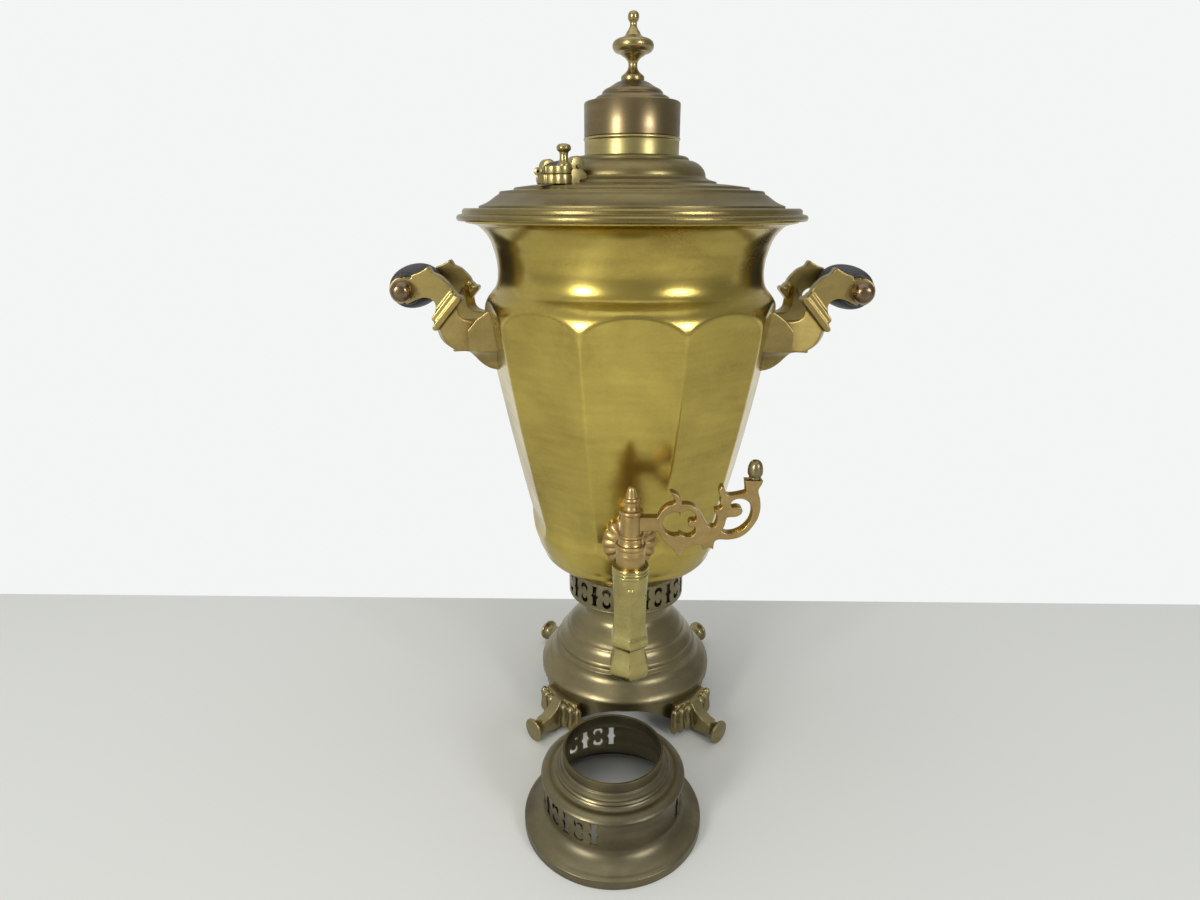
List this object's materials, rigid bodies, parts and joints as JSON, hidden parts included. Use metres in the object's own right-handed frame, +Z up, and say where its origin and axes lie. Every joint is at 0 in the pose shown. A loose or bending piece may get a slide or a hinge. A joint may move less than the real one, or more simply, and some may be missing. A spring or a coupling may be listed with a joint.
{
  "type": "samovar",
  "caption": "Charcoal samovar in aged brass: faceted urn on a pierced foot, carrying handles with black grips, tap with scrolled key, lid with steam vent, chimney cap and loose teapot crown.",
  "frame": {"origin": "on the urn's vertical axis, at the surface it stands on", "axes": "+Z up, -Y towards the tap, +X to the right as the tap is faced"},
  "size_m": [0.3536, 0.3379, 0.537],
  "materials": {
    "urn_brass": "aged sheet brass, olive-gold, half polished",
    "worn_brass": "dull brown aged brass",
    "bright_brass": "pale brass, lightly worn",
    "handle_brass": "cast brass, warm, lightly worn",
    "tap_brass": "cast brass, reddish",
    "cast_iron": "burnt iron",
    "black_wood": "black stained turned wood",
    "washer_leather": "greased leather"
  },
  "bodies": {
    "samovar": {"body_shell": "urn_brass", "top_ring": "urn_brass", "fire_tube": "worn_brass", "chimney_collar": "bright_brass", "fire_grate": "cast_iron", "neck_band": "worn_brass", "base_bell": "worn_brass", "base_apron": "worn_brass", "foot_front_left": "worn_brass", "foot_front_right": "worn_brass", "foot_back_left": "worn_brass", "foot_back_right": "worn_brass", "saddle_left": "handle_brass", "saddle_right": "handle_brass", "horn_left_front": "handle_brass", "horn_left_back": "handle_brass", "horn_right_front": "handle_brass", "horn_right_back": "handle_brass", "grip_left": "black_wood", "grip_right": "black_wood", "rod_left": "worn_brass", "rod_right": "worn_brass", "rod_knobs_left": "worn_brass", "rod_knobs_right": "worn_brass", "tap_rosette": "tap_brass", "tap_barrel": "tap_brass", "tap_spout": "bright_brass", "tap_washer": "washer_leather", "tap_nut": "worn_brass"},
    "lid": {"lid_cover": "worn_brass", "lid_brackets": "bright_brass", "lid_grip": "black_wood", "lid_rod": "worn_brass", "vent_base": "bright_brass", "vent_pin": "worn_brass"},
    "vent_flap": {"vent_flap": "bright_brass", "vent_knob": "worn_brass"},
    "cap": {"cap_shell": "worn_brass", "cap_finial": "worn_brass"},
    "tap_key": {"tap_plug": "tap_brass", "tap_branch": "tap_brass", "tap_finial": "tap_brass", "branch_knob": "worn_brass"},
    "crown": {"crown_shell": "worn_brass"}
  },
  "joints": [
    {"name": "lid_lift", "type": "slide", "parent": "samovar", "child": "lid", "axis": [0, 0, 1], "range_m": [0, 0.15]},
    {"name": "vent_hinge", "type": "hinge", "parent": "lid", "child": "vent_flap", "pos_m": [-0.06134, -0.0615, 0.4319], "axis": [0, -1, 0], "range_deg": [0, 100]},
    {"name": "cap_lift", "type": "slide", "parent": "samovar", "child": "cap", "axis": [0, 0, 1], "range_m": [0, 0.12]},
    {"name": "tap_turn", "type": "hinge", "parent": "samovar", "child": "tap_key", "pos_m": [0, -0.12, 0.2], "axis": [0, 0, 1], "range_deg": [-180, 0]},
    {"name": "crown_slide", "type": "slide", "parent": "samovar", "child": "crown", "axis": [0, -1, 0], "range_m": [0, 0.15]}
  ]
}
